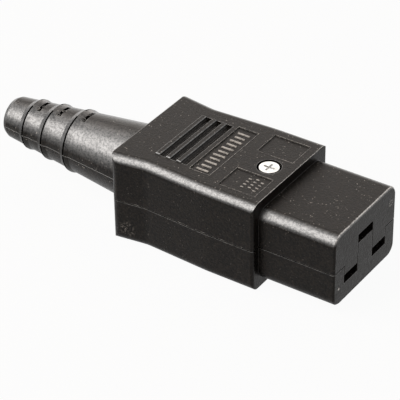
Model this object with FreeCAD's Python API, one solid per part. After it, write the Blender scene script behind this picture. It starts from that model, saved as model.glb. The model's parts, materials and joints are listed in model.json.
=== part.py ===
import FreeCAD, Part
import math
import os

Vec = FreeCAD.Vector

# Mating nose
nose_width = 28.3
nose_height = 20.2
nose_length = 21.0
nose_lift = 2.1                  # underside of the nose above the resting face
nose_corner_radius = 3.0
nose_rim_bevel = 0.4

# Contact layout
contact_pitch = 13.0             # between the two live contacts
earth_offset = 8.0               # earth contact above the live pair
live_height = 8.2                # live contacts above the resting face
slot_width = 6.2
slot_height = 2.5
blade_thickness = 2.0            # male blade that enters each slot
seam_fit = 0.12                  # side clearance of the tongue and tabs in the seam

# Body
body_length = 41.6
body_height = 24.9
body_width = 33.3
body_waist_width = 31.3
body_rear_width = 34.0
shoulder_station = 14.0          # behind the front face of the body
shoulder_bend = 60.0             # radius of the outline at the shoulder
waist_station = 32.0
waist_bend = 10.0                # radius of the outline at the waist
body_edge_round = 2.3            # along the long edges, following the waist
body_front_corner = 0.8          # upright edges at the front and rear faces
body_rear_corner = 2.0
rear_overhang = 0.35             # upper half behind the lower one
wall = 2.2
front_wall = 2.4
rear_wall = 2.6
seam_groove = 0.3                # width and depth of the rebate where the halves meet

# Bend relief sleeve
sleeve_length = 43.5
sleeve_root_radius = 10.4
sleeve_tip_radius = 5.4
sleeve_tip_bevel = 1.6
cable_bore_radius = 4.0
cable_bore_length = 6.0
throat_radius = 6.2              # bore at the wide end of the sleeve
throat_end = 13.0                # stations behind the body
throat_taper = 4.0
flex_bore_gap = 0.5              # bore between throat and tip, wider than the cable bore
neck_step = 1.7                  # neck is this much slimmer than the root
flange_step = 1.4                # flange is this much wider than the neck
flange_thickness = 2.2
ring_stations = (21.1, 28.9, 35.5)   # flex rings, behind the body
ring_height = 0.55
ring_half_width = 1.5
slit_width = 0.5
slit_web = 3.2                   # web left at the top and bottom of each slit
window_shift = 2.35              # from a slit to the window beside it
window_length = 1.1
window_width = 4.6

# Grip and panels on the top face
grip_first = 24.05               # first groove behind the front face of the body
grip_pitch = 3.05
grip_count = 3
grip_width = 20.4
groove_width = 1.5
groove_depth = 0.9
rib_width = 1.4
rib_height = 0.35
panel_depth = 0.25
name_panel_start = 16.1
name_panel_length = 5.7
name_panel_width = 21.6
field_start = 2.2
field_length = 10.1
field_inner = 4.4
field_outer = 12.6

# Contacts and terminals
sheet = 0.6
contact_width = 6.2
pinch_preload = 0.15             # each leaf stands this far inside the blade face
lead_opening = 1.85
rear_opening = 1.5
contact_start = 2.7              # stations behind the mating face
pinch_station = 5.2
parallel_station = 9.0
contact_end = 16.0
spring_sheet = 0.35
seat_gap = 0.05
side_gap = 0.15
terminal_station = 31.0
earth_terminal_station = 41.0
tail_margin = 3.4                # tail past the centre of its screw
tail_run_width = 3.4             # narrow run of the earth tail beside the boss
clamp_plate_size = 6.2
clamp_plate_thickness = 1.0
terminal_screw_radius = 1.75
terminal_head_radius = 2.8
terminal_head_height = 1.9
terminal_screw_reach = 2.2       # below the tail
driver_slot = 0.8
driver_slot_depth = 0.9
thread_gap = 0.05
hole_gap = 0.2

# Housing screw and nut
housing_screw_station = 6.1      # behind the front face of the body
housing_screw_radius = 1.5
housing_head_radius = 2.5
housing_head_height = 2.0
housing_head_sink = 0.15
head_side_gap = 0.6
recess_reach = 1.5               # each arm of its cross recess
recess_width = 0.6
recess_depth = 0.7
nut_across_flats = 5.5
nut_thickness = 2.4
nut_recess = 0.5                 # nut above the resting face
nut_gap = 0.1
boss_wall = 1.35

# Cord clamp
clamp_station = 31.3             # middle of the clamp behind the front of the body
clamp_length = 5.6
clamp_half_span = 11.4
clamp_end_margin = 2.8           # from a clamp screw's axis to the end of the bar
clamp_bar_thickness = 2.0
clamp_arch_gap = 0.4             # between the cable and the arch
clamp_post_radius = 2.9
clamp_post_rise = 1.0            # post tops above the cable's axis
clamp_screw_reach = 9.0
clamp_head_radius = 2.6

# Locating pegs
peg_radius = 1.0
peg_height = 1.8
peg_gap = 0.1
peg_boss_radius = 2.1
front_peg_station = 5.6
front_peg_offset = 12.0
rear_peg_station = 38.0
rear_peg_offset = 12.9

# Places worked out from the sizes above
housing_length = nose_length + body_length
front_x = (housing_length + sleeve_length) / 2.0
earth_height = live_height + earth_offset
seam_height = live_height + earth_offset / 2.0
sleeve_axis_height = seam_height
clamp_screw_offset = clamp_half_span - clamp_end_margin
half_pitch = contact_pitch / 2.0
tongue_half = half_pitch - slot_width / 2.0
slot_outer = half_pitch + slot_width / 2.0
nose_top = nose_lift + nose_height
leaf_half = rear_opening + sheet
spring_half = leaf_half + spring_sheet
channel_half_height = spring_half + seat_gap
channel_half_width = contact_width / 2.0 + spring_sheet + side_gap
channel_end = contact_end + 2.0 * side_gap
neck_radius = sleeve_root_radius - neck_step
flange_radius = neck_radius + flange_step
clamp_depth = nose_length + clamp_station
chamber_end = housing_length - rear_wall - flange_thickness - 1.4
boss_radius = housing_screw_radius + hole_gap + boss_wall
head_bore_radius = housing_head_radius + head_side_gap
housing_screw_depth = nose_length + housing_screw_station
head_seat = body_height - housing_head_sink - housing_head_height
shank_hole_radius = terminal_screw_radius + thread_gap


def x_at(depth):
    """X of a station measured back from the mating face."""
    return front_x - depth


def block(depth_a, depth_b, y_a, y_b, z_a, z_b):
    """Box between two stations behind the mating face."""
    size = (depth_b - depth_a, y_b - y_a, z_b - z_a)
    return Part.makeBox(size[0], size[1], size[2], Vec(x_at(depth_b), y_a, z_a))


def post(radius, depth, y, z_a, z_b):
    """Upright cylinder."""
    return Part.makeCylinder(radius, z_b - z_a, Vec(x_at(depth), y, z_a))


def tunnel(radius, depth_a, depth_b):
    """Cylinder along the cable's axis."""
    start = Vec(x_at(depth_b), 0, sleeve_axis_height)
    return Part.makeCylinder(radius, depth_b - depth_a, start, Vec(1, 0, 0))


def fuse_all(shapes):
    """One shape from several that touch or overlap."""
    joined = shapes[0].fuse(shapes[1:])
    return joined.removeSplitter()


def cut_all(shape, tools):
    """Shape with every tool taken away."""
    return shape.cut(tools)


def vertical_edges(solid):
    """Straight edges that run up and down."""
    found = []
    for edge in solid.Edges:
        low = edge.BoundBox
        if low.ZLength > 0.2 and low.XLength < 1e-4 and low.YLength < 1e-4:
            found.append(edge)
    return found


def rim_edges(solid, height):
    """Edges that lie in one horizontal plane."""
    found = []
    for edge in solid.Edges:
        limits = edge.BoundBox
        if abs(limits.ZMin - height) < 1e-4 and limits.ZLength < 1e-4:
            found.append(edge)
    return found


def end_loop(solid, x):
    """Edges that lie in one plane across the connector."""
    found = []
    for edge in solid.Edges:
        limits = edge.BoundBox
        if limits.XLength < 1e-4 and abs(limits.XMin - x) < 1e-3:
            found.append(edge)
    return found


def bend(before, corner, after, radius):
    """Arc of this radius that rounds a corner of an outline, with its two ends."""
    back = (before - corner).normalize()
    ahead = (after - corner).normalize()
    half_angle = back.getAngle(ahead) / 2.0
    reach = radius / math.tan(half_angle)
    start = corner + back * reach
    end = corner + ahead * reach
    inward = (back + ahead).normalize()
    middle = corner + inward * (radius / math.sin(half_angle) - radius)
    return start, end, Part.Arc(start, middle, end).toShape()


def side_line(inset, side):
    """Edges of one long side of the body in plan, with its front and rear ends."""
    corners = []
    for station, width in ((inset, body_width), (shoulder_station, body_width),
                           (waist_station, body_waist_width),
                           (body_length - inset, body_rear_width)):
        half = width / 2.0 - inset
        corners.append(Vec(x_at(nose_length + station), side * half, 0))
    front, shoulder, waist, rear = corners
    shoulder_start, shoulder_end, shoulder_arc = bend(front, shoulder, waist, shoulder_bend)
    waist_start, waist_end, waist_arc = bend(shoulder, waist, rear, waist_bend)
    edges = [Part.makeLine(front, shoulder_start), shoulder_arc,
             Part.makeLine(shoulder_end, waist_start), waist_arc,
             Part.makeLine(waist_end, rear)]
    return edges, front, rear


def body_prism(inset):
    """Body in its waisted plan shape, with every edge left sharp."""
    near, near_front, near_rear = side_line(inset, -1)
    far, far_front, far_rear = side_line(inset, 1)
    ends = [Part.makeLine(near_front, far_front), Part.makeLine(near_rear, far_rear)]
    wire = Part.Wire(Part.__sortEdges__(near + far + ends))
    solid = Part.Face(wire).extrude(Vec(0, 0, body_height - 2.0 * inset))
    solid.translate(Vec(0, 0, inset))
    return solid


def upright_corners(solid, low, high):
    """Upright edges between two stations behind the mating face."""
    found = []
    for edge in vertical_edges(solid):
        depth = front_x - edge.BoundBox.XMin
        if low < depth < high:
            found.append(edge)
    return found


def body_block(inset):
    """Body rounded along its long edges and at its upright corners, drawn in by an inset."""
    prism = body_prism(inset)
    long_edges = []
    for edge in rim_edges(prism, inset) + rim_edges(prism, body_height - inset):
        if edge.BoundBox.XLength > 1e-3:
            long_edges.append(edge)
    front = upright_corners(prism, 0.0, nose_length + inset + 0.1)
    cornered = prism.makeFillet(body_front_corner - inset, front)
    rear = upright_corners(cornered, housing_length - inset - 0.1, housing_length + 1.0)
    cornered = cornered.makeFillet(body_rear_corner - inset, rear)
    return cornered.common(prism.makeFillet(body_edge_round - inset, long_edges))


def nose_block(inset):
    """Nose with rounded corners along it and a small bevel on its front rim."""
    low = nose_lift + inset
    high = nose_top - inset
    half = nose_width / 2.0 - inset
    solid = block(inset, nose_length + wall, -half, half, low, high)
    long_edges = []
    for edge in solid.Edges:
        limits = edge.BoundBox
        if limits.XLength > 1.0:
            long_edges.append(edge)
    solid = solid.makeFillet(nose_corner_radius - inset, long_edges)
    return solid.makeChamfer(nose_rim_bevel, end_loop(solid, x_at(inset)))


def housing_outside():
    """Outer form of the closed housing, with the rebate under the line where it parts."""
    outside = body_block(0.0).fuse(nose_block(0.0))
    core = body_block(seam_groove).fuse(nose_block(seam_groove))
    span = body_width
    slab = block(-1.0, housing_length + 1.0, -span, span, seam_height - seam_groove, seam_height)
    return outside.cut(slab.cut(core)).removeSplitter()


def grip_cuts():
    """Finger grooves across the top."""
    cuts = []
    for index in range(grip_count):
        middle = nose_length + grip_first + index * grip_pitch
        top = groove_width / 2.0
        floor = groove_width / 3.0
        half = grip_width / 2.0
        points = []
        for depth, rise in ((-top - 0.2, 0.2), (-floor, -groove_depth),
                            (floor, -groove_depth), (top + 0.2, 0.2)):
            points.append(Vec(x_at(middle + depth), -half, body_height + rise))
        outline = Part.makePolygon(points + [points[0]])
        cuts.append(Part.Face(outline).extrude(Vec(0, grip_width, 0)))
    return cuts


def grip_ribs():
    """Low ribs between and behind the finger grooves."""
    ribs = []
    for index in range(grip_count):
        middle = nose_length + grip_first + (index + 0.5) * grip_pitch
        half = rib_width / 2.0
        rib = block(middle - half, middle + half, -grip_width / 2.0, grip_width / 2.0,
                    body_height - 0.5, body_height + rib_height)
        ribs.append(rib.makeFillet(rib_height * 0.9, rim_edges(rib, body_height + rib_height)))
    return ribs


def panel_cuts():
    """Shallow panels let into the top face."""
    floor = body_height - panel_depth
    start = nose_length + name_panel_start
    half = name_panel_width / 2.0
    cuts = [block(start, start + name_panel_length, -half, half, floor, body_height + 1.0)]
    start = nose_length + field_start
    for side in (-1, 1):
        low, high = sorted((side * field_inner, side * field_outer))
        cuts.append(block(start, start + field_length, low, high, floor, body_height + 1.0))
    return cuts


def half_space(upper):
    """Everything on one side of the flat part of the seam."""
    span = body_width
    if upper:
        return block(-1.0, housing_length + 1.0, -span, span, seam_height, body_height + 2.0)
    return block(-1.0, housing_length + 1.0, -span, span, -1.0, seam_height)


def sleeve_seat():
    """Round pocket for the sleeve's flange, with the holes before and behind it."""
    pocket_front = housing_length - rear_wall - flange_thickness - seat_gap
    return [tunnel(flange_radius + side_gap, pocket_front, housing_length - rear_wall),
            tunnel(neck_radius + side_gap, pocket_front, housing_length + 1.0),
            tunnel(throat_radius, chamber_end - 1.0, housing_length)]


def chamber():
    """Hollow of the body between its front wall and the sleeve's seat."""
    span = body_width
    reach = block(nose_length + wall, chamber_end, -span, span, 0.0, body_height)
    return body_prism(wall).common(reach)


def lower_solids():
    """Supports that stand on the floor of the lower half."""
    tail_seat = live_height - leaf_half
    outer = half_pitch + channel_half_width
    solids = [block(nose_length, terminal_station + tail_margin, -outer, outer,
                    wall / 2.0, tail_seat)]
    solids.append(post(boss_radius, housing_screw_depth, 0, wall / 2.0, seam_height))
    earth_seat = earth_height - leaf_half
    half = clamp_plate_size / 2.0
    solids.append(block(earth_terminal_station - half, earth_terminal_station + half,
                        -half, half, wall / 2.0, earth_seat))
    post_top = sleeve_axis_height + clamp_post_rise
    for side in (-1, 1):
        solids.append(post(clamp_post_radius, clamp_depth, side * clamp_screw_offset,
                           wall / 2.0, post_top))
        solids.append(post(peg_boss_radius, nose_length + front_peg_station,
                           side * front_peg_offset, wall / 2.0, seam_height))
    half = clamp_length / 2.0
    saddle = block(clamp_depth - half, clamp_depth + half, -clamp_screw_offset,
                   clamp_screw_offset, wall / 2.0, sleeve_axis_height - clamp_post_rise)
    solids.append(saddle)
    return solids


def lower_holes():
    """Screw holes, the nut's pocket and the cable's hollow in the lower half."""
    depth = terminal_station
    relief = terminal_screw_radius + hole_gap
    reach = terminal_screw_reach + seat_gap
    holes = []
    for side in (-1, 1):
        top = live_height - leaf_half
        holes.append(post(relief, depth, side * half_pitch, top - reach - 0.5, top + 1.0))
        top = sleeve_axis_height + clamp_post_rise
        holes.append(post(shank_hole_radius, clamp_depth, side * clamp_screw_offset,
                          top - clamp_screw_reach - 0.5, top + 1.0))
    top = earth_height - leaf_half
    holes.append(post(relief, earth_terminal_station, 0, top - reach - 0.5, top + 1.0))
    holes.append(post(housing_screw_radius + hole_gap, housing_screw_depth, 0,
                      -1.0, seam_height + 1.0))
    pocket = nut_prism(nut_across_flats / 2.0 + nut_gap, -1.0, nut_recess + nut_thickness)
    holes.append(pocket)
    holes.append(tunnel(cable_bore_radius + clamp_arch_gap, clamp_depth - clamp_length,
                        clamp_depth + clamp_length))
    return holes


def nut_prism(half_flats, z_a, z_b):
    """Six-sided prism on the housing screw's axis."""
    radius = half_flats / math.cos(math.radians(30))
    points = []
    for index in range(7):
        angle = math.radians(60 * index)
        points.append(Vec(x_at(housing_screw_depth) + radius * math.cos(angle),
                          radius * math.sin(angle), z_a))
    return Part.Face(Part.makePolygon(points)).extrude(Vec(0, 0, z_b - z_a))


def live_cavities():
    """Open-topped channels for the live contacts, and the notches of their slots."""
    cuts = []
    for side in (-1, 1):
        centre = side * half_pitch
        low = centre - channel_half_width
        high = centre + channel_half_width
        floor = live_height - channel_half_height
        cuts.append(block(front_wall, channel_end, low, high, floor, seam_height + 1.0))
        cuts.append(block(channel_end - 0.1, nose_length + wall + 0.1, low, high,
                          live_height - leaf_half, seam_height + 1.0))
        low, high = sorted((side * tongue_half, side * slot_outer))
        cuts.append(block(-1.0, front_wall + 0.1, low, high,
                          live_height - slot_height / 2.0, seam_height + 1.0))
    return cuts


def lower_shell():
    """Lower half: floor, side walls, live channels and the tongue under the earth slot."""
    shell = housing_outside().common(half_space(False))
    step = block(housing_length - rear_overhang, housing_length + 1.0,
                 -body_rear_width, body_rear_width, -1.0, seam_height)
    shell = cut_all(shell, [chamber(), step] + live_cavities())
    rise = earth_height - slot_height / 2.0
    half = tongue_half - seam_fit
    tongue = block(nose_rim_bevel, front_wall, -half, half, seam_height - 1.0, rise)
    lip = block(0.0, nose_rim_bevel, -half, half, seam_height - 1.0, rise)
    pedestal_half = half_pitch - channel_half_width
    pedestal = block(front_wall, channel_end, -pedestal_half, pedestal_half,
                     seam_height - 1.0, earth_height - channel_half_height)
    pieces = [shell, tongue, lip, pedestal] + lower_solids()
    for side in (-1, 1):
        pieces.append(post(peg_radius, nose_length + front_peg_station,
                           side * front_peg_offset, seam_height - 0.5,
                           seam_height + peg_height))
        pieces.append(post(peg_radius, nose_length + rear_peg_station,
                           side * rear_peg_offset, seam_height - 0.5,
                           seam_height + peg_height))
    shell = fuse_all(pieces)
    return cut_all(shell, lower_holes() + sleeve_seat())


def upper_cavities():
    """Hollows of the nose above the seam, and the notch of the earth slot."""
    ceiling = earth_height + channel_half_height
    cuts = [block(front_wall, channel_end + 0.1, -channel_half_width, channel_half_width,
                  seam_height - 1.0, ceiling)]
    cuts.append(block(-1.0, front_wall + 0.1, -tongue_half, tongue_half,
                      seam_height - 1.0, earth_height + slot_height / 2.0))
    inner = channel_half_width + wall * 0.7
    outer = nose_width / 2.0 - wall
    top = nose_top - wall
    cuts.append(block(channel_end, nose_length + wall + 0.1, -outer, outer,
                      seam_height - 1.0, top))
    for side in (-1, 1):
        low, high = sorted((side * inner, side * outer))
        cuts.append(block(front_wall, channel_end + 0.1, low, high, seam_height - 1.0, top))
    return cuts


def hold_downs():
    """Cross ribs of the upper half that keep the live contacts in their channels."""
    ribs = []
    inner = channel_half_width + wall * 0.7
    outer = nose_width / 2.0 - wall
    foot = live_height + channel_half_height
    for side in (-1, 1):
        for depth in (parallel_station, contact_end - wall):
            low, high = sorted((side * (inner - 0.5), side * (outer + 0.5)))
            ribs.append(block(depth, depth + 1.5, low, high, seam_height, nose_top - 1.0))
            middle = side * half_pitch
            reach = contact_width / 2.0 - 0.6
            ribs.append(block(depth, depth + 1.5, middle - reach, middle + reach,
                              foot, seam_height + 1.0))
    return ribs


def upper_solids():
    """Tabs, bosses and ribs that hang from the upper half."""
    solids = hold_downs()
    slot_top = live_height + slot_height / 2.0
    for side in (-1, 1):
        low, high = sorted((side * (tongue_half + seam_fit), side * (slot_outer - seam_fit)))
        solids.append(block(0.0, front_wall, low, high, slot_top, seam_height + 1.0))
        solids.append(post(peg_boss_radius, nose_length + front_peg_station,
                           side * front_peg_offset, seam_height, body_height - wall / 2.0))
    solids.append(post(boss_radius, housing_screw_depth, 0, seam_height,
                       body_height - wall / 2.0))
    solids.append(post(head_bore_radius + boss_wall, housing_screw_depth, 0,
                       head_seat - wall, body_height - wall / 2.0))
    return solids


def upper_holes():
    """Housing screw's hole and the sockets of the locating pegs."""
    holes = [post(housing_screw_radius + hole_gap, housing_screw_depth, 0,
                  seam_height - 1.0, body_height + 1.0)]
    holes.append(post(head_bore_radius, housing_screw_depth, 0, head_seat, body_height + 1.0))
    for side in (-1, 1):
        for station, offset in ((front_peg_station, front_peg_offset),
                                (rear_peg_station, rear_peg_offset)):
            holes.append(post(peg_radius + peg_gap, nose_length + station, side * offset,
                              seam_height - 1.0, seam_height + peg_height + peg_gap))
    return holes


def upper_shell():
    """Upper half: roof, side walls, earth channel, tabs over the live slots and grip."""
    shell = housing_outside().common(half_space(True))
    shell = cut_all(shell, [chamber()] + upper_cavities() + grip_cuts() + panel_cuts())
    shell = fuse_all([shell] + upper_solids() + grip_ribs())
    return cut_all(shell, upper_holes() + sleeve_seat())


def sleeve_outline():
    """Station and radius of the sleeve's outer corners, from its root to its tip."""
    taper = (sleeve_root_radius - sleeve_tip_radius) / sleeve_length
    corners = [(0.0, 0.0)]
    for station in ring_stations:
        corners.append((station - ring_half_width, 0.0))
        corners.append((station, ring_height))
        corners.append((station + ring_half_width, 0.0))
    lip = 0.85 * (sleeve_tip_radius - cable_bore_radius)
    corners.append((sleeve_length - sleeve_tip_bevel, 0.0))
    corners.append((sleeve_length - 0.35 * sleeve_tip_bevel, -0.35 * lip))
    corners.append((sleeve_length, -lip))
    return [(at, sleeve_root_radius - taper * at + lift) for at, lift in corners]


def sleeve_profile():
    """Half section of the sleeve: outside, bore, throat, flange and neck."""
    flange_back = -rear_wall - seat_gap
    flange_front = flange_back - flange_thickness
    flex_radius = cable_bore_radius + flex_bore_gap
    section = sleeve_outline()
    section += [(sleeve_length, cable_bore_radius),
                (sleeve_length - cable_bore_length, cable_bore_radius),
                (sleeve_length - cable_bore_length - flex_bore_gap, flex_radius),
                (throat_end + throat_taper, flex_radius), (throat_end, throat_radius),
                (flange_front, throat_radius), (flange_front, flange_radius),
                (flange_back, flange_radius), (flange_back, neck_radius), (0.0, neck_radius)]
    corners = []
    for station, radius in section:
        corners.append(Vec(x_at(housing_length + station), 0, sleeve_axis_height + radius))
    return Part.Face(Part.makePolygon(corners + [corners[0]]))


def bend_relief_sleeve():
    """Tapered sleeve with flex rings, each slit at its sides and opened above and below."""
    axis_point = Vec(0, 0, sleeve_axis_height)
    sleeve = sleeve_profile().revolve(axis_point, Vec(1, 0, 0), 360)
    span = sleeve_root_radius + 2.0
    low = sleeve_axis_height - span
    high = sleeve_axis_height + span
    cuts = []
    for station in ring_stations:
        depth = housing_length + station
        for side in (-1, 1):
            inner, outer = sorted((side * slit_web / 2.0, side * span))
            cuts.append(block(depth - slit_width / 2.0, depth + slit_width / 2.0,
                              inner, outer, low, high))
        middle = depth - window_shift
        cuts.append(block(middle - window_length / 2.0, middle + window_length / 2.0,
                          -window_width / 2.0, window_width / 2.0, low, high))
    return cut_all(sleeve, cuts)


def leaf_line():
    """Middle line of one contact leaf, as station and height above the contact's middle."""
    half = sheet / 2.0
    pinch = blade_thickness / 2.0 - pinch_preload
    return [(contact_start, lead_opening + half), (pinch_station, pinch + half),
            (parallel_station, rear_opening + half), (contact_end, rear_opening + half)]


def offset_line(points, distance):
    """Line moved sideways by an even distance, with its corners kept sharp."""
    normals = []
    for (x_a, z_a), (x_b, z_b) in zip(points[:-1], points[1:]):
        length = math.hypot(x_b - x_a, z_b - z_a)
        normals.append((-(z_b - z_a) / length, (x_b - x_a) / length))
    moved = []
    for index, (x, z) in enumerate(points):
        before = normals[max(index - 1, 0)]
        after = normals[min(index, len(normals) - 1)]
        share = distance / (1.0 + before[0] * after[0] + before[1] * after[1])
        moved.append((x + (before[0] + after[0]) * share, z + (before[1] + after[1]) * share))
    return moved


def strip(points, low, high, side, centre, y_a, y_b):
    """Bent strip between two offsets of a line, above or below the contact's middle."""
    ring = offset_line(points, low) + offset_line(points, high)[::-1]
    corners = [Vec(x_at(x), y_a, centre + side * z) for x, z in ring]
    return Part.Face(Part.makePolygon(corners + [corners[0]])).extrude(Vec(0, y_b - y_a, 0))


def contact_head(y, z):
    """Two sprung leaves joined along one side."""
    half = contact_width / 2.0
    pieces = []
    for side in (-1, 1):
        pieces.append(strip(leaf_line(), -sheet / 2.0, sheet / 2.0, side, z,
                            y - half, y + half))
    pieces.append(block(parallel_station, contact_end, y + half - sheet, y + half,
                        z - leaf_half, z + leaf_half))
    return pieces


def tapped_hole(depth, y, z):
    """Hole for a terminal screw through a tail at this height."""
    return post(shank_hole_radius, depth, y, z - 1.0, z + 2.0)


def live_contact(side):
    """Live contact with its straight tail."""
    y = side * half_pitch
    half = contact_width / 2.0
    seat = live_height - leaf_half
    tail = block(contact_end - 0.5, terminal_station + tail_margin, y - half, y + half,
                 seat, seat + sheet)
    whole = fuse_all(contact_head(y, live_height) + [tail])
    return whole.cut(tapped_hole(terminal_station, y, seat))


def earth_contact():
    """Earth contact, whose tail steps aside to pass the housing screw's boss."""
    half = contact_width / 2.0
    seat = earth_height - leaf_half
    run_inner = boss_radius + 3.0 * side_gap
    run_outer = run_inner + tail_run_width
    near = housing_screw_depth - boss_radius - side_gap
    far = housing_screw_depth + boss_radius + side_gap
    pad = earth_terminal_station - tail_margin
    end = earth_terminal_station + tail_margin
    plan = [(contact_end - 0.5, -half), (contact_end - 0.5, half), (contact_end + 2.0, half),
            (near, run_outer), (far + 1.0, run_outer), (pad, half), (end, half),
            (end, -half), (pad + 0.5, -half), (far, run_inner), (near, run_inner),
            (contact_end + 2.0, -half)]
    corners = [Vec(x_at(x), y, seat) for x, y in plan]
    tail = Part.Face(Part.makePolygon(corners + [corners[0]])).extrude(Vec(0, 0, sheet))
    whole = fuse_all(contact_head(0.0, earth_height) + [tail])
    return whole.cut(tapped_hole(earth_terminal_station, 0.0, seat))


def backing_spring(y, z):
    """Steel clip around the leaves that presses them onto the blade."""
    line = leaf_line()
    share = 1.0 / (parallel_station - pinch_station)
    start_z = line[1][1] + (line[2][1] - line[1][1]) * share
    points = [(pinch_station + 1.0, start_z), line[2], (contact_end - 1.0, line[3][1])]
    half = contact_width / 2.0
    pieces = []
    for side in (-1, 1):
        pieces.append(strip(points, sheet / 2.0, sheet / 2.0 + spring_sheet, side, z,
                            y - half - spring_sheet, y + half - sheet))
    pieces.append(block(parallel_station, contact_end - 1.0, y - half - spring_sheet, y - half,
                        z - spring_half, z + spring_half))
    return fuse_all(pieces)


def clamp_plate(depth, y, seat):
    """Square washer that presses a wire onto a tail."""
    half = clamp_plate_size / 2.0
    low = seat + sheet
    plate = block(depth - half, depth + half, y - half, y + half,
                  low, low + clamp_plate_thickness)
    plate = plate.makeChamfer(0.8, vertical_edges(plate))
    hole = post(terminal_screw_radius + hole_gap / 2.0, depth, y, low - 1.0,
                low + clamp_plate_thickness + 1.0)
    return plate.cut(hole)


def screw(depth, y, seat, radius, reach, head_radius, head_height):
    """Cylinder-head screw whose head rests at this height, before its drive is cut."""
    head = post(head_radius, depth, y, seat, seat + head_height)
    shank = post(radius, depth, y, seat - reach, seat + 0.1)
    return fuse_all([head, shank])


def slotted(whole, depth, y, top, head_radius):
    """Screw with a straight slot across the top of its head."""
    slot = block(depth - driver_slot / 2.0, depth + driver_slot / 2.0, y - head_radius - 1.0,
                 y + head_radius + 1.0, top - driver_slot_depth, top + 1.0)
    return whole.cut(slot)


def terminal_screw(depth, y, seat):
    """Screw through a clamp plate and a tapped tail."""
    bearing = seat + sheet + clamp_plate_thickness
    reach = clamp_plate_thickness + sheet + terminal_screw_reach
    whole = screw(depth, y, bearing, terminal_screw_radius, reach,
                  terminal_head_radius, terminal_head_height)
    return slotted(whole, depth, y, bearing + terminal_head_height, terminal_head_radius)


def cord_clamp_bar():
    """Flat-ended bar arched over the cable."""
    half = clamp_length / 2.0
    low = sleeve_axis_height + clamp_post_rise
    arch_inner = cable_bore_radius + clamp_arch_gap
    bar = block(clamp_depth - half, clamp_depth + half, -clamp_half_span, clamp_half_span,
                low, low + clamp_bar_thickness)
    bar = bar.makeFillet(1.6, vertical_edges(bar))
    arch = tunnel(arch_inner + clamp_bar_thickness, clamp_depth - half, clamp_depth + half)
    above = block(clamp_depth - half, clamp_depth + half, -clamp_half_span, clamp_half_span,
                  low, body_height)
    bar = fuse_all([bar, arch.common(above)])
    holes = [tunnel(arch_inner, clamp_depth - clamp_length, clamp_depth + clamp_length)]
    for side in (-1, 1):
        holes.append(post(terminal_screw_radius + hole_gap / 2.0, clamp_depth,
                          side * clamp_screw_offset, low - 1.0, low + 4.0))
    return cut_all(bar, holes)


def cord_clamp_screw(side):
    """Screw that draws one end of the clamp bar down."""
    y = side * clamp_screw_offset
    bearing = sleeve_axis_height + clamp_post_rise + clamp_bar_thickness
    whole = screw(clamp_depth, y, bearing, terminal_screw_radius,
                  clamp_bar_thickness + clamp_screw_reach, clamp_head_radius,
                  terminal_head_height)
    return slotted(whole, clamp_depth, y, bearing + terminal_head_height, clamp_head_radius)


def housing_screw():
    """Long screw that holds the two halves together, with a cross recess in its head."""
    body = screw(housing_screw_depth, 0, head_seat, housing_screw_radius,
                 head_seat - nut_recess, housing_head_radius, housing_head_height)
    top = head_seat + housing_head_height
    arms = []
    for reach_x, reach_y in ((recess_reach, recess_width / 2.0),
                             (recess_width / 2.0, recess_reach)):
        arms.append(block(housing_screw_depth - reach_x, housing_screw_depth + reach_x,
                          -reach_y, reach_y, top - recess_depth, top + 1.0))
    return cut_all(body, arms)


def housing_nut():
    """Nut held in the six-sided pocket under the lower half."""
    nut = nut_prism(nut_across_flats / 2.0, nut_recess, nut_recess + nut_thickness)
    hole = post(housing_screw_radius + thread_gap, housing_screw_depth, 0, -1.0,
                nut_recess + nut_thickness + 1.0)
    return nut.cut(hole)


def all_pieces():
    """Every piece by name."""
    live_seat = live_height - leaf_half
    earth_seat = earth_height - leaf_half
    pieces = {"upper_shell": upper_shell(), "lower_shell": lower_shell(),
              "bend_relief_sleeve": bend_relief_sleeve(),
              "earth_contact": earth_contact(),
              "earth_backing_spring": backing_spring(0.0, earth_height),
              "earth_clamp_plate": clamp_plate(earth_terminal_station, 0.0, earth_seat),
              "earth_terminal_screw": terminal_screw(earth_terminal_station, 0.0, earth_seat),
              "cord_clamp_bar": cord_clamp_bar(),
              "housing_screw": housing_screw(), "housing_nut": housing_nut()}
    for name, side in (("line", -1), ("neutral", 1)):
        y = side * half_pitch
        pieces[name + "_contact"] = live_contact(side)
        pieces[name + "_backing_spring"] = backing_spring(y, live_height)
        pieces[name + "_clamp_plate"] = clamp_plate(terminal_station, y, live_seat)
        pieces[name + "_terminal_screw"] = terminal_screw(terminal_station, y, live_seat)
    for name, side in (("near", -1), ("far", 1)):
        pieces["cord_clamp_screw_" + name] = cord_clamp_screw(side)
    return pieces


def main():
    """Write each piece to its own file."""
    os.makedirs("parts", exist_ok=True)
    for name, shape in all_pieces().items():
        print(name, "solids", len(shape.Solids), "volume", round(shape.Volume, 1))
        shape.exportStep("parts/" + name + ".step")


main()
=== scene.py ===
import json
import math

import bmesh
import bpy
from mathutils import Matrix, Vector


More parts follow.
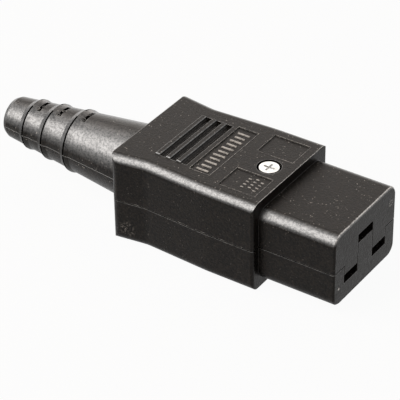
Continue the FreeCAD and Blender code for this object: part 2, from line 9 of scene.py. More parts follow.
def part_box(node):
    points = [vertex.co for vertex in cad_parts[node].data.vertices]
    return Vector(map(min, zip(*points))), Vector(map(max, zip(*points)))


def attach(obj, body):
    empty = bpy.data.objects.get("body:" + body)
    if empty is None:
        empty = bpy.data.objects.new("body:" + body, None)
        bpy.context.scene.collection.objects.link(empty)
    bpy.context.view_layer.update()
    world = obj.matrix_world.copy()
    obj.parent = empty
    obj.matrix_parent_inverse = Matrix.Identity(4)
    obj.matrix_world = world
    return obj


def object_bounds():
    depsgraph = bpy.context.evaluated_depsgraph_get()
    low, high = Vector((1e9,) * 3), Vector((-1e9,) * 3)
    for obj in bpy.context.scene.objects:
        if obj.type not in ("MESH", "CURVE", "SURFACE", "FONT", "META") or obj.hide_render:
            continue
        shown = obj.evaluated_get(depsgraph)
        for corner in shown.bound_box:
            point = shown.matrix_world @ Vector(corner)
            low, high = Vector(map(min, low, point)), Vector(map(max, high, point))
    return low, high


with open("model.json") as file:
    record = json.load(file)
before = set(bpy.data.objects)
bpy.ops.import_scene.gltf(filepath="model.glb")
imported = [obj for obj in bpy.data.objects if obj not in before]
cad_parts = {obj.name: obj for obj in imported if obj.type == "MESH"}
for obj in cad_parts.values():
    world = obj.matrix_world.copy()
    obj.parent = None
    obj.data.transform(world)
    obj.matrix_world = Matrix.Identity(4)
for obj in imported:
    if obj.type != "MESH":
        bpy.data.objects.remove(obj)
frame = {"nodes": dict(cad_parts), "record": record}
nodes = frame["nodes"]
cadLow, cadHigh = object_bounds()
print("frame loaded:", len(nodes), "nodes")

mm = 0.001


# Shader kit: a value socket that can be written into expressions

class Value:
    def __init__(self, finish, socket):
        self.finish = finish
        self.socket = socket

    def maths(self, operation, first, second=None):
        given = {0: first}
        if second is not None:
            given[1] = second
        return self.finish.node("ShaderNodeMath", {"operation": operation}, given)

    def __add__(self, other):
        return self.maths("ADD", self, other)

    def __radd__(self, other):
        return self.maths("ADD", other, self)

    def __sub__(self, other):
        return self.maths("SUBTRACT", self, other)

    def __rsub__(self, other):
        return self.maths("SUBTRACT", other, self)

    def __mul__(self, other):
        return self.maths("MULTIPLY", self, other)

    def __rmul__(self, other):
        return self.maths("MULTIPLY", other, self)

    def __truediv__(self, other):
        return self.maths("DIVIDE", self, other)

    def __rtruediv__(self, other):
        return self.maths("DIVIDE", other, self)

    def size(self):
        return self.maths("ABSOLUTE", self)

    def most(self, other):
        return self.maths("MAXIMUM", self, other)


class Finish:
    def __init__(self, name):
        self.material = bpy.data.materials.new(name)
        self.material.use_nodes = True
        self.tree = self.material.node_tree
        self.tree.nodes.clear()
        self.output = self.tree.nodes.new("ShaderNodeOutputMaterial")

    def node(self, kind, settings=None, sockets=None, out=0):
        made = self.tree.nodes.new(kind)
        for name, setting in (settings or {}).items():
            if name == "stops":
                self.setStops(made.color_ramp, setting)
            else:
                setattr(made, name, setting)
        for name, given in (sockets or {}).items():
            if isinstance(given, Value):
                self.tree.links.new(given.socket, made.inputs[name])
            else:
                made.inputs[name].default_value = given
        return Value(self, made.outputs[out])

    def setStops(self, ramp, stops):
        while len(ramp.elements) < len(stops):
            ramp.elements.new(0.5)
        for element, (place, level) in zip(ramp.elements, stops):
            element.position = place
            element.color = (level, level, level, 1.0)

    def ramp(self, value, *stops):
        return self.node("ShaderNodeValToRGB", {"stops": stops}, {"Fac": value})

    def place(self, scale=(1.0, 1.0, 1.0)):
        where = self.node("ShaderNodeTexCoord", out=3)
        return self.node("ShaderNodeMapping", {}, {"Vector": where, "Scale": scale})

    def noise(self, where, scale, detail, roughness):
        return self.node("ShaderNodeTexNoise", {},
                         {"Vector": where, "Scale": scale, "Detail": detail,
                          "Roughness": roughness})

    def cells(self, where, scale):
        return self.node("ShaderNodeTexVoronoi", {"feature": "F1"},
                         {"Vector": where, "Scale": scale})

    def blend(self, amount, first, second):
        return self.node("ShaderNodeMix", {"data_type": "RGBA"},
                         {0: amount, 6: first, 7: second}, out=2)

    def part(self, vector, axis):
        return self.node("ShaderNodeSeparateXYZ", {}, {"Vector": vector}, out="XYZ".index(axis))

    def away(self, where, spot):
        return self.node("ShaderNodeVectorMath", {"operation": "DISTANCE"},
                         {0: where, 1: spot}, out=1)

    def softened(self, radius):
        # the surface's direction, rounded over its edges
        return self.node("ShaderNodeBevel", {"samples": 6}, {"Radius": radius})

    def bump(self, height, strength, distance, under=None):
        given = {"Height": height, "Strength": strength, "Distance": distance}
        if under is not None:
            given["Normal"] = under
        return self.node("ShaderNodeBump", {}, given)

    def surface(self, **sockets):
        given = {}
        for name, value in sockets.items():
            given[socketNames.get(name, name)] = value
        shader = self.node("ShaderNodeBsdfPrincipled", {}, given)
        self.tree.links.new(shader.socket, self.output.inputs["Surface"])
        return self.material


socketNames = {"colour": "Base Color", "roughness": "Roughness", "metallic": "Metallic",
               "normal": "Normal", "coat": "Coat Weight", "coatRoughness": "Coat Roughness",
               "coatIor": "Coat IOR", "gloss": "Specular IOR Level", "sheen": "Specular Tint"}


# Housing: dark moulded plastic with spark-eroded grain

sleeveLow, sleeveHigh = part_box("bend_relief_sleeve")
seamHeight = (sleeveLow.z + sleeveHigh.z) / 2.0
matingFace = cadHigh.x

housing = {
    "dark": (0.0008, 0.0005, 0.0003, 1.0),  # valleys of the grain
    "pale": (0.0115, 0.0090, 0.0070, 1.0),  # its peaks
    "front": (0.004, 0.003, 0.002, 1.0),  # the mating face, painted darker as shade
    "scuffAndHighlight": (0.075, 0.066, 0.058, 1.0),  # edges rubbed by handling, and painted highlight where they catch light
    "rim": (0.86, 0.83, 0.79, 1.0),  # near white: painted highlight on the front rims and the parting line, and the colour of the face marks
    "speck": (0.34, 0.31, 0.28, 1.0),  # dust and scratched spots
    "sheen": (1.0, 0.955, 0.925, 1.0),
    "roughness": 0.36, "cloudRoughness": 0.14, "grainRoughness": 0.16,
    "gloss": 0.14,
    "polish": 1.0, "polishRoughness": 0.35, "polishIor": 2.20,  # on rounded edges
    "grainStep": 0.55 * mm, "grainDepth": 0.040 * mm,
    "clusterStep": 3.5 * mm, "speckStep": 0.75 * mm, "sideSpecks": 0.22,
    "edgeRadius": 0.30 * mm, "edgePaleStrength": 0.5,
    "gripRise": 0.35 * mm,  # the grip ribs stand this far above the top face
    # where the painted rim highlights and the full parting line start, behind the mating face
    "rimStart": 1.0 * mm, "bodyStart": 23.5 * mm, "seamBody": 23.0 * mm,
    "bodyRimDrop": 1.5 * mm,
    "seamReach": 0.15 * mm, "seamDash": 1.4 * mm, "seamHighlightStrength": 0.4, "seamNose": 0.25,
    # a patch of pale specks low on the rear corner, measured from the rear foot of the housing
    "patch": (4.2 * mm, 4.2 * mm), "patchReach": 2.6 * mm, "patchStrength": 0.42,
    # an ejector dot and a rough mark on the mating face
    "faceMarks": (
        {"y": -11.9 * mm, "z": 6.85 * mm, "radius": 0.40 * mm, "middle": 1.0,
         "least": (0.0, 1.0), "most": (1.0, 1.0)},
        {"y": 11.9 * mm, "z": 17.65 * mm, "radius": 1.15 * mm, "middle": 0.2,
         "least": (0.50, 0.0), "most": (0.66, 0.7)}),
}
bodyTop = cadHigh.z - housing["gripRise"]


def grainOf(finish, where, values, fine):
    coarse = finish.noise(where, 1.0 / values["grainStep"], 2.0, 0.65)
    return finish.ramp(coarse * 0.65 + fine * 0.35, (0.34, 0.0), (0.66, 1.0))


def speckOf(finish, where, values):
    spot = finish.cells(where, 1.0 / values["speckStep"])
    core = finish.ramp(spot, (0.0, 1.0), (0.14, 0.9), (0.24, 0.0))
    cluster = finish.noise(where, 2.1 / values["clusterStep"], 3.0, 0.75)
    return core * finish.ramp(cluster, (0.50, 0.0), (0.64, 1.0))


def mouldedSurface(finish, body, turned, cloud, grain, values):
    # rounded edges and shoulders are rubbed glossier by hands than the flats
    rounded = finish.ramp(finish.part(turned, "Z"),
                          (0.18, 0.0), (0.46, 1.0), (0.92, 1.0), (0.992, 0.0))
    rubbed = rounded * finish.ramp(grain, (0.28, 0.55), (0.66, 1.0))
    rough = (values["roughness"] + (cloud - 0.5) * values["cloudRoughness"]
             + (grain - 0.5) * values["grainRoughness"])
    return finish.surface(colour=body, roughness=rough,
                          normal=finish.bump(grain, 1.0, values["grainDepth"], turned),
                          gloss=values["gloss"], sheen=values["sheen"],
                          coat=rubbed * values["polish"],
                          coatRoughness=values["polishRoughness"],
                          coatIor=values["polishIor"])


# edges painted paler: partly wear, partly painted highlight
def edgeWearAndHighlight(finish, turned, grain):
    flat = finish.node("ShaderNodeNewGeometry", out=3)
    facing = finish.node("ShaderNodeVectorMath", {"operation": "DOT_PRODUCT"},
                         {0: turned, 1: flat}, out=1)
    return finish.ramp(1.0 - facing, (0.01, 0.0), (0.10, 1.0)) * finish.ramp(
        grain, (0.30, 0.0), (0.70, 1.0))


def palePatch(finish, where, grain, values):
    along, up = values["patch"]
    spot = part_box("lower_shell")[0] + Vector((along, 0.0, up))
    reach = finish.away(where, spot) / values["patchReach"]
    return finish.ramp(reach, (0.3, 1.0), (1.0, 0.0)) * finish.ramp(
        grain, (0.58, 0.0), (0.80, 1.0))


def pressedMark(finish, where, fine, mark):
    reach = finish.away(where, (matingFace, mark["y"], mark["z"])) / mark["radius"]
    ring = finish.ramp(reach, (0.0, mark["middle"]), (0.70, 1.0), (1.0, 0.0))
    return ring * finish.ramp(fine, mark["least"], mark["most"])


def rimHighlights(finish, ahead, height, slope, tone, values):
    # painted highlight: the front rims of the nose and the body, where they slope forward and
    # up, are painted near white
    nose = finish.ramp((ahead - (matingFace - values["rimStart"])) / mm,
                       (0.30, 0.0), (0.50, 1.0), (0.72, 1.0), (0.86, 0.0))
    body = finish.ramp((ahead - (matingFace - values["bodyStart"])) / mm,
                       (0.0, 0.0), (0.8, 1.0))
    body = body * finish.ramp((height - (bodyTop - values["bodyRimDrop"])) / mm,
                              (0.2, 0.0), (0.6, 1.0))
    sloped = finish.ramp(slope, (0.22, 0.0), (0.38, 1.0))
    return nose.most(body) * sloped * finish.ramp(tone, (0.22, 0.15), (0.55, 1.0))


def seamHighlightDashes(finish, where, ahead, height, values):
    # painted highlight: pale dashes along the parting line, fewer on the nose
    off = (height - seamHeight).size() / values["seamReach"]
    dash = finish.ramp(finish.noise(where, 1.0 / values["seamDash"], 3.0, 0.7),
                       (0.56, 0.0), (0.66, 1.0))
    onBody = finish.ramp((ahead - (matingFace - values["seamBody"])) / mm,
                         (0.0, 1.0), (1.0, values["seamNose"]))
    return finish.ramp(off, (0.0, 1.0), (0.7, 0.8), (1.0, 0.0)) * dash * onBody


def housingFinish(name, values):
    finish = Finish(name)
    where = finish.place()
    cloud = finish.noise(where, 1.0 / values["clusterStep"], 4.0, 0.6)
    fine = finish.noise(where, 2.3 / values["grainStep"], 1.0, 0.5)
    grain = grainOf(finish, where, values, fine)
    turned = finish.softened(values["edgeRadius"])
    forward, upward = finish.part(turned, "X"), finish.part(turned, "Z")
    ahead, height = finish.part(where, "X"), finish.part(where, "Z")

    tone = finish.ramp(cloud * 0.35 + grain * 0.65, (0.36, 0.0), (0.72, 1.0))
    body = finish.blend(tone, values["dark"], values["pale"])
    # painted shade: the mating face is painted darker and plainer than the sides
    front = finish.ramp((ahead - (matingFace - values["rimStart"])) / mm,
                        (0.55, 0.0), (0.75, 1.0))
    body = finish.blend(front * (0.35 + grain * 0.65), body, values["front"])
    sides = values["sideSpecks"]
    body = finish.blend(speckOf(finish, where, values)
                        * (sides + upward.most(0.0) * (1.0 - sides)), body, values["speck"])
    body = finish.blend(palePatch(finish, where, grain, values) * values["patchStrength"],
                        body, values["speck"])
    for mark in values["faceMarks"]:
        body = finish.blend(pressedMark(finish, where, fine, mark), body, values["rim"])
    body = finish.blend(edgeWearAndHighlight(finish, turned, grain) * values["edgePaleStrength"],
                        body, values["scuffAndHighlight"])
    body = finish.blend(rimHighlights(finish, ahead, height, forward * upward,
                                 cloud * 0.4 + grain * 0.6, values), body, values["rim"])
    body = finish.blend(seamHighlightDashes(finish, where, ahead, height, values)
                        * (1.0 - front) * values["seamHighlightStrength"], body, values["rim"])

    return mouldedSurface(finish, body, turned, cloud, grain, values)


# Sleeve: satin elastomer with the housing's kind of grain

sleeve = {
    "dark": (0.0010, 0.0007, 0.0005, 1.0),
    "pale": (0.0170, 0.0138, 0.0112, 1.0),
    "speck": (0.30, 0.28, 0.255, 1.0),
    "sheen": (1.0, 0.965, 0.94, 1.0),
    "roughness": 0.33, "cloudRoughness": 0.12, "grainRoughness": 0.16,
    "gloss": 0.18,
    "polish": 1.0, "polishRoughness": 0.32, "polishIor": 2.20,
    "grainStep": 0.62 * mm, "grainDepth": 0.040 * mm,
    "clusterStep": 5.0 * mm, "speckStep": 0.80 * mm, "specks": 0.8,
    "edgeRadius": 0.25 * mm,
}


def sleeveFinish(name, values):
    finish = Finish(name)
    where = finish.place()
    cloud = finish.noise(where, 1.0 / values["clusterStep"], 4.0, 0.6)
    fine = finish.noise(where, 2.3 / values["grainStep"], 1.0, 0.5)
    grain = grainOf(finish, where, values, fine)
    turned = finish.softened(values["edgeRadius"])
    tone = finish.ramp(cloud * 0.4 + grain * 0.6, (0.36, 0.0), (0.72, 1.0))
    body = finish.blend(tone, values["dark"], values["pale"])
    body = finish.blend(speckOf(finish, where, values) * values["specks"],
                        body, values["speck"])
    return mouldedSurface(finish, body, turned, cloud, grain, values)


# Contacts: stamped copper alloy with a thin tarnish

contacts = {
    "clean": (0.68, 0.52, 0.27, 1.0),
    "tarnish": (0.36, 0.25, 0.13, 1.0),
    "roughness": 0.34, "blotchRoughness": 0.2, "drawRoughness": 0.14,
    "blotchStep": 2.2 * mm,
    "drawStep": 0.12 * mm, "drawStretch": 0.08, "drawDepth": 0.004 * mm,
}


def contactFinish(name, values):
    finish = Finish(name)
    where = finish.place()
    drawn = finish.place((values["drawStretch"], 1.0, 1.0))
    blotch = finish.noise(where, 1.0 / values["blotchStep"], 4.0, 0.6)
    lines = finish.noise(drawn, 1.0 / values["drawStep"], 2.0, 0.5)
    body = finish.blend(finish.ramp(blotch, (0.42, 0.0), (0.68, 1.0)),
                        values["clean"], values["tarnish"])
    rough = (values["roughness"] + (blotch - 0.5) * values["blotchRoughness"]
             + (lines - 0.5) * values["drawRoughness"])
    relief = finish.bump(lines, 0.5, values["drawDepth"])
    return finish.surface(colour=body, roughness=rough, metallic=1.0, normal=relief)


# Springs: cold-rolled strip

springs = {
    "bright": (0.52, 0.52, 0.51, 1.0),
    "dull": (0.33, 0.33, 0.34, 1.0),
    "roughness": 0.30, "brushRoughness": 0.2,
    "brushStep": 0.10 * mm, "brushStretch": 0.05, "brushDepth": 0.003 * mm,
    "cloudStep": 2.5 * mm,
}


def springFinish(name, values):
    finish = Finish(name)
    brushed = finish.place((values["brushStretch"], 1.0, 1.0))
    lines = finish.noise(brushed, 1.0 / values["brushStep"], 3.0, 0.6)
    cloud = finish.noise(finish.place(), 1.0 / values["cloudStep"], 3.0, 0.6)
    body = finish.blend(finish.ramp(lines * 0.6 + cloud * 0.4, (0.35, 0.0), (0.65, 1.0)),
                        values["bright"], values["dull"])
    rough = values["roughness"] + (lines - 0.5) * values["brushRoughness"]
    relief = finish.bump(lines, 0.5, values["brushDepth"])
    return finish.surface(colour=body, roughness=rough, metallic=1.0, normal=relief)


# Screws, nut and clamp plates: bright zinc plate

plating = {
    "bright": (0.76, 0.76, 0.75, 1.0),
    "spangle": (0.58, 0.575, 0.56, 1.0),
    "stain": (0.40, 0.385, 0.36, 1.0),
    "roughness": 0.34, "stainRoughness": 0.25, "spangleRoughness": 0.1,
    "spangleStep": 0.55 * mm, "spangleDepth": 0.012 * mm,
    "stainStep": 2.4 * mm,
}


def platedFinish(name, values):
    finish = Finish(name)
    where = finish.place()
    spangle = finish.cells(where, 1.0 / values["spangleStep"])
    stain = finish.noise(where, 1.0 / values["stainStep"], 4.0, 0.6)
    body = finish.blend(finish.ramp(spangle, (0.25, 0.0), (0.75, 1.0)),
                        values["bright"], values["spangle"])
    body = finish.blend(finish.ramp(stain, (0.56, 0.0), (0.74, 0.6)), body, values["stain"])
    rough = (values["roughness"] + (stain - 0.5) * values["stainRoughness"]
             + spangle * values["spangleRoughness"])
    relief = finish.bump(spangle, 0.6, values["spangleDepth"])
    return finish.surface(colour=body, roughness=rough, metallic=0.9, normal=relief)


finishes = {
    "housing": housingFinish("mouldedHousing", housing),
    "sleeve": sleeveFinish("satinSleeve", sleeve),
    "contact": contactFinish("stampedContact", contacts),
    "spring": springFinish("rolledSpring", springs),
    "plated_steel": platedFinish("zincPlate", plating),
}
for part in frame["record"]["subparts"]:
    node = nodes[part["node"]]
    node.data.materials.clear()
    node.data.materials.append(finishes[part["material_slot"]])
print("finishes:", len(finishes))


def meshOf(name, shape):
    bmesh.ops.recalc_face_normals(shape, faces=shape.faces)
    mesh = bpy.data.meshes.new(name)
    shape.to_mesh(mesh)
    shape.free()
    return mesh


# Raised trim: every run is a low strip with its top edges drawn in

def stripMesh(name, strips, draw):
    # strips: x start, x end, y start, y end, z foot, z top
    shape = bmesh.new()
    for x0, x1, y0, y1, z0, z1 in strips:
        foot = [shape.verts.new(p) for p in
                ((x0, y0, z0), (x1, y0, z0), (x1, y1, z0), (x0, y1, z0))]
        inset = min(draw, abs(x1 - x0) * 0.3, abs(y1 - y0) * 0.3)
        crown = [shape.verts.new(p) for p in
                 ((x0 + inset, y0 + inset, z1), (x1 - inset, y0 + inset, z1),
                  (x1 - inset, y1 - inset, z1), (x0 + inset, y1 - inset, z1))]
        for k in range(4):
            n = (k + 1) % 4
            shape.faces.new((foot[k], foot[n], crown[n], crown[k]))
        shape.faces.new(crown)
        shape.faces.new(tuple(reversed(foot)))
    return meshOf(name, shape)


def placePiece(name, mesh, finish):
    piece = bpy.data.objects.new(name, mesh)
    bpy.context.scene.collection.objects.link(piece)
    mesh.materials.append(finish)
    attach(piece, "root")


# Trim finish: the low ribs, painted pale in patches, partly as wear from handling and partly as
# painted highlight on their crowns

trim = {
    "valley": (0.012, 0.010, 0.008, 1.0),
    # painted highlight and wear: this pale crown colour stands in for glints on the ribs
    "crown": (0.34, 0.31, 0.28, 1.0),
    "roughness": 0.38, "patchRoughness": 0.2,
    "gloss": 0.6,
    "grainStep": 0.30 * mm, "grainDepth": 0.05 * mm,
    "patchStep": 1.3 * mm,
    # how much of each run is painted pale, as wear and painted highlight: where the pale
    # starts, and where it is full
    "wearAndHighlight": {"outline": (0.44, 0.60), "flash": (0.56, 0.78), "lip": (0.46, 0.74),
             "bar": (0.34, 0.52)},
}


def trimFinish(run, values):
    least, most = values["wearAndHighlight"][run]
    finish = Finish(run + "Trim")
    where = finish.place()
    grain = finish.noise(where, 1.0 / values["grainStep"], 2.0, 0.6)
    patch = finish.noise(where, 1.0 / values["patchStep"], 3.0, 0.7)
    # painted highlight and wear: noise picks which patches of each run are painted pale
    paleTrimMask = finish.ramp(grain * 0.35 + patch * 0.65, (least, 0.0), (most, 1.0))
    body = finish.blend(paleTrimMask, values["valley"], values["crown"])
    relief = finish.bump(grain, 0.8, values["grainDepth"])
    rough = values["roughness"] + (patch - 0.5) * values["patchRoughness"]
    return finish.surface(colour=body, roughness=rough, normal=relief, gloss=values["gloss"])


trimFinishes = {run: trimFinish(run, trim) for run in trim["wearAndHighlight"]}


# Top face: outlines of the name panel and the two fields, and plain bars and marks

panel = {
    "start": 37.1 * mm, "length": 5.7 * mm, "halfWidth": 10.8 * mm, "depth": 0.25 * mm,
    "line": 0.22 * mm, "lift": 0.06 * mm,
    "barCount": 11, "barFirst": -9.6 * mm, "barPitch": 1.82 * mm,
    "barWidth": 0.62 * mm, "barLengths": (3.6 * mm, 3.0 * mm), "barHeight": 0.22 * mm,
}
field = {
    "start": 23.2 * mm, "length": 10.1 * mm, "inner": 4.4 * mm, "outer": 12.6 * mm,
    "line": 0.18 * mm, "lift": 0.05 * mm,
    "markRows": (24.9 * mm, 26.6 * mm, 28.3 * mm), "markFirst": -10.4 * mm,
    "markPitch": 1.25 * mm, "markCount": 4, "markWidth": 0.42 * mm,
    "markLength": 0.95 * mm, "markHeight": 0.16 * mm,
}
# every strip starts a little below its face, and its crown is drawn in on all sides
strip = {"sunk": 0.1 * mm, "outlineDraw": 0.08 * mm, "barDraw": 0.12 * mm}


def outline(x0, x1, y0, y1, values):
    line, foot, top = values["line"], bodyTop - strip["sunk"], bodyTop + values["lift"]
    return [(x0 - line, x1 + line, y0 - line, y0, foot, top),
            (x0 - line, x1 + line, y1, y1 + line, foot, top),
            (x0 - line, x0, y0, y1, foot, top),
            (x1, x1 + line, y0, y1, foot, top)]


def bar(x, y, length, width, height):
    # bars and marks stand on the floor of their panel or field
    floor = bodyTop - panel["depth"]
    return (x - length / 2.0, x + length / 2.0, y - width / 2.0, y + width / 2.0,
            floor - strip["sunk"], floor + height)


def topOutlines():
    x1 = matingFace - panel["start"]
    half = panel["halfWidth"]
    lines = outline(x1 - panel["length"], x1, -half, half, panel)
    x1 = matingFace - field["start"]
    for low, high in ((field["inner"], field["outer"]), (-field["outer"], -field["inner"])):
        lines += outline(x1 - field["length"], x1, low, high, field)
    placePiece("top_outlines", stripMesh("top_outlines", lines, strip["outlineDraw"]),
               trimFinishes["outline"])


def namePanelBars(values):
    middle = matingFace - values["start"] - values["length"] / 2.0
    bars = [bar(middle, values["barFirst"] + count * values["barPitch"],
                values["barLengths"][count % 2], values["barWidth"], values["barHeight"])
            for count in range(values["barCount"])]
    placePiece("name_panel_bars", stripMesh("name_panel_bars", bars, strip["barDraw"]),
               trimFinishes["bar"])


def fieldMarks(values):
    # every second row is set over by half a pitch
    marks = [bar(x, values["markFirst"] + (count + 0.5 * (row % 2)) * values["markPitch"],
                 values["markLength"], values["markWidth"], values["markHeight"])
             for row, x in enumerate(values["markRows"])
             for count in range(values["markCount"])]
    placePiece("field_marks", stripMesh("field_marks", marks, strip["barDraw"]),
               trimFinishes["bar"])


# Sleeve: the flash line that its mould leaves along each side

sleeveLine = {
    "start": 1.2 * mm, "end": 42.6 * mm, "steps": 120,
    "halfWidth": 0.16 * mm, "lift": 0.09 * mm, "sunk": 0.12 * mm,
    "jump": 0.5 * mm,  # the line stops where the skin steps by more than this
}
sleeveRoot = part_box("upper_shell")[0].x
rayStart = 40.0 * mm  # well outside the sleeve


def sideOf(along, side):
    # outermost point of the sleeve at one station, looking from the side
    start = Vector((sleeveRoot - along, side * rayStart, seamHeight))
    hit, point, normal, face = nodes["bend_relief_sleeve"].ray_cast(
        start, Vector((0.0, -side, 0.0)))
    return point if hit else None


def sleeveFlash(values):
    shape = bmesh.new()
    length = values["end"] - values["start"]
    for side in (-1.0, 1.0):
        rows = []
        for step in range(values["steps"] + 1):
            point = sideOf(values["start"] + length * step / values["steps"], side)
            if point is None:
                continue
            foot = point.y - side * values["sunk"]
            ends = ((foot, -values["halfWidth"]), (point.y + side * values["lift"], 0.0),
                    (foot, values["halfWidth"]))
            rows.append([shape.verts.new((point.x, y, seamHeight + up)) for y, up in ends])
        for first, second in zip(rows, rows[1:]):
            if abs(first[1].co.y - second[1].co.y) < values["jump"]:
                for k in range(2):
                    shape.faces.new((first[k], second[k], second[k + 1], first[k + 1]))
    # the line's pale patches are painted highlight and wear, from its trim finish
    placePiece("sleeve_flash_line", meshOf("sleeve_flash_line", shape),
               trimFinishes["flash"])


# Sleeve: small raised lips beside the windows and near the tip

sleeveLips = {
    # distance from the housing, and turn in degrees from the top
    "spots": ((40.4 * mm, 15.0), (33.9 * mm, 14.0), (32.4 * mm, 6.0), (27.0 * mm, 16.0),
              (26.1 * mm, 3.0), (19.1 * mm, 11.0), (18.7 * mm, -5.0)),
    "radius": 0.58 * mm, "tube": 0.13 * mm, "squash": 0.62, "settle": 0.1,
    "around": 20, "section": 8,
    "aside": (50.0, 60.0, 70.0),  # turns at which the skin has no window
}


def outwardAt(turn):
    return Vector((0.0, -math.sin(turn), math.cos(turn)))


def sleevePoint(along, turn, asides):
    # the windows are open, so the skin's radius is read a little to one side of them
    axis = Vector((sleeveRoot - along, 0.0, seamHeight))
    radius = 0.0
    for aside in asides:
        beside = outwardAt(math.radians(aside))
        hit, point, normal, face = nodes["bend_relief_sleeve"].ray_cast(
            axis + beside * rayStart, -beside)
        if hit:
            radius = max(radius, (point - axis).length)
    return axis + outwardAt(turn) * radius


def raiseLips(values):
    shape = bmesh.new()
    around, section = values["around"], values["section"]
    lengthwise = Vector((1.0, 0.0, 0.0))
    for along, degrees in values["spots"]:
        turn = math.radians(degrees)
        point, outward = sleevePoint(along, turn, values["aside"]), outwardAt(turn)
        sideways = outward.cross(lengthwise)
        loops = []
        for k in range(around):
            turn = 2.0 * math.pi * k / around
            reach = lengthwise * math.cos(turn) + sideways * math.sin(turn) * values["squash"]
            centre = point + reach * values["radius"]
            loop = []
            for n in range(section):
                tilt = 2.0 * math.pi * n / section
                offset = reach * math.cos(tilt) + outward * (math.sin(tilt) - values["settle"])
                loop.append(shape.verts.new(centre + offset * values["tube"]))
            loops.append(loop)
        for k in range(around):
            here, there = loops[k], loops[(k + 1) % around]
            for n in range(section):
                m = (n + 1) % section
                shape.faces.new((here[n], there[n], there[m], here[m]))
    # the lips' pale patches are painted highlight and wear, from their trim finish
    placePiece("sleeve_lips", meshOf("sleeve_lips", shape), trimFinishes["lip"])


# Floor and backdrop: pale to the lens and in reflections, and the floor keeps a shadow

seenRays = ("Is Camera Ray", "Is Glossy Ray", "Is Transmission Ray")
ground = {
    "reach": 3.0, "drop": 0.2 * mm, "colour": (0.46, 0.44, 0.42, 1.0),
    "roughness": 0.9, "mottle": 0.05, "mottleScale": 9.0, "gloss": 0.1,
    "white": 0.95,
}
room = {
    "backdrop": (0.8, 0.8, 0.8, 1.0),  # past the floor's edge, and in reflections
    "colour": (1.0, 0.95, 0.90, 1.0), "strength": 0.12,  # what the room adds as light
}


def layFloor(values):
    reach = values["reach"]
    shape = bmesh.new()
    shape.faces.new([shape.verts.new((x * reach, y * reach, -values["drop"]))
                     for x, y in ((-1, -1), (1, -1), (1, 1), (-1, 1))])
    mesh = meshOf("floor", shape)
    floor = bpy.data.objects.new("floor", mesh)
    bpy.context.scene.collection.objects.link(floor)
    finish = Finish("paleFloor")
    lens, mirrored, through = (finish.node("ShaderNodeLightPath", out=ray)
                               for ray in seenRays)
    seen = lens.most(mirrored).most(through)
    mottle = finish.noise(finish.place(), values["mottleScale"], 3.0, 0.6)
    pale = finish.node("ShaderNodeBsdfPrincipled", {},
                       {"Base Color": values["colour"],
                        "Roughness": values["roughness"] + (mottle - 0.5) * values["mottle"],
                        "Specular IOR Level": values["gloss"]})
    white = finish.node("ShaderNodeEmission", {}, {"Color": (1, 1, 1, 1), "Strength": 1.0})
    mixed = finish.node("ShaderNodeMixShader", {},
                        {"Fac": seen * values["white"], 1: pale, 2: white})
    finish.tree.links.new(mixed.socket, finish.output.inputs["Surface"])
    mesh.materials.append(finish.material)


def hangWorld(values):
    world = bpy.data.worlds.new("studio")
    bpy.context.scene.world = world
    world.use_nodes = True
    tree = world.node_tree
    tree.nodes.clear()

    def backdrop(colour, strength):
        made = tree.nodes.new("ShaderNodeBackground")
        made.inputs["Color"].default_value = colour
        made.inputs["Strength"].default_value = strength
        return made.outputs["Background"]

    path = tree.nodes.new("ShaderNodeLightPath")
    pale = backdrop(values["backdrop"], 1.0)
    shade = backdrop(values["colour"], values["strength"])
    for ray in seenRays:
        choice = tree.nodes.new("ShaderNodeMixShader")
        tree.links.new(path.outputs[ray], choice.inputs["Fac"])
        tree.links.new(shade, choice.inputs[1])
        tree.links.new(pale, choice.inputs[2])
        shade = choice.outputs["Shader"]
    output = tree.nodes.new("ShaderNodeOutputWorld")
    tree.links.new(shade, output.inputs["Surface"])


# Lamps: direction from the part's middle, distance and size in metres, power in watts

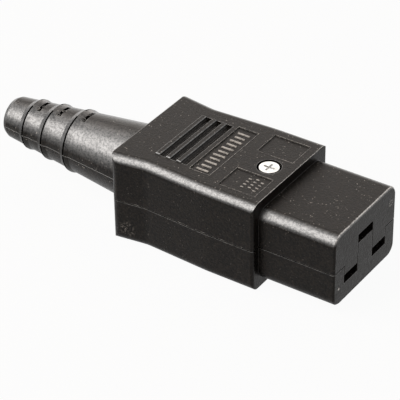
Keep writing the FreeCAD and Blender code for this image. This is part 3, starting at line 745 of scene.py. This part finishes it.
lamps = {
    "key": {"towards": (-0.47, -0.57, 0.68), "distance": 0.9, "size": 0.84,
            "power": 11.5, "tint": (1.0, 0.965, 0.935)},
    "fill": {"towards": (0.80, 0.30, 0.48), "distance": 1.3, "size": 0.8,
             "power": 2.0, "tint": (1.0, 0.98, 0.96)},
    "back": {"towards": (-0.47, 0.68, 0.57), "distance": 1.3, "size": 1.5,
             "power": 8.2, "tint": (1.0, 0.915, 0.845)},
}


def hangLamps(centre):
    for name, values in lamps.items():
        data = bpy.data.lights.new(name, "AREA")
        data.shape = "SQUARE"
        data.size = values["size"]
        data.energy = values["power"]
        data.color = values["tint"]
        lamp = bpy.data.objects.new(name, data)
        towards = Vector(values["towards"]).normalized()
        lamp.location = centre + towards * values["distance"]
        lamp.rotation_euler = towards.to_track_quat("Z", "Y").to_euler()
        bpy.context.scene.collection.objects.link(lamp)


# Camera: beside the mating end and above it, looking back along the connector

camera = {
    "azimuth": 34.66, "elevation": 34.70, "roll": -0.89,
    "lens": 186.35, "sensor": 36.0,
    "nearClip": 0.05, "farClip": 20.0,
    "stand": (193.96 * mm, -349.14 * mm, 301.40 * mm),  # from the foot of the mating face
}


def placeCamera(values):
    turn, rise, roll = (math.radians(values[angle]) for angle in
                        ("azimuth", "elevation", "roll"))
    back = Vector((math.sin(turn) * math.cos(rise), -math.cos(turn) * math.cos(rise),
                   math.sin(rise)))
    across = Vector((math.cos(turn), math.sin(turn), 0.0))
    upright = back.cross(across)
    right = across * math.cos(roll) + upright * math.sin(roll)
    up = upright * math.cos(roll) - across * math.sin(roll)
    data = bpy.data.cameras.new("camera")
    data.lens = values["lens"]
    data.sensor_width = values["sensor"]
    data.clip_start = values["nearClip"]
    data.clip_end = values["farClip"]
    seat = bpy.data.objects.new("camera", data)
    bpy.context.scene.collection.objects.link(seat)
    where = Vector((matingFace, 0.0, 0.0)) + Vector(values["stand"])
    axes = Matrix((right, up, back)).transposed().to_4x4()
    seat.matrix_world = Matrix.Translation(where) @ axes
    bpy.context.scene.camera = seat


topOutlines()
namePanelBars(panel)
fieldMarks(field)
sleeveFlash(sleeveLine)
raiseLips(sleeveLips)
print("trim placed")
layFloor(ground)
hangWorld(room)
hangLamps((cadLow + cadHigh) / 2.0)
placeCamera(camera)
bpy.context.scene.view_settings.view_transform = "Standard"
print("studio set")
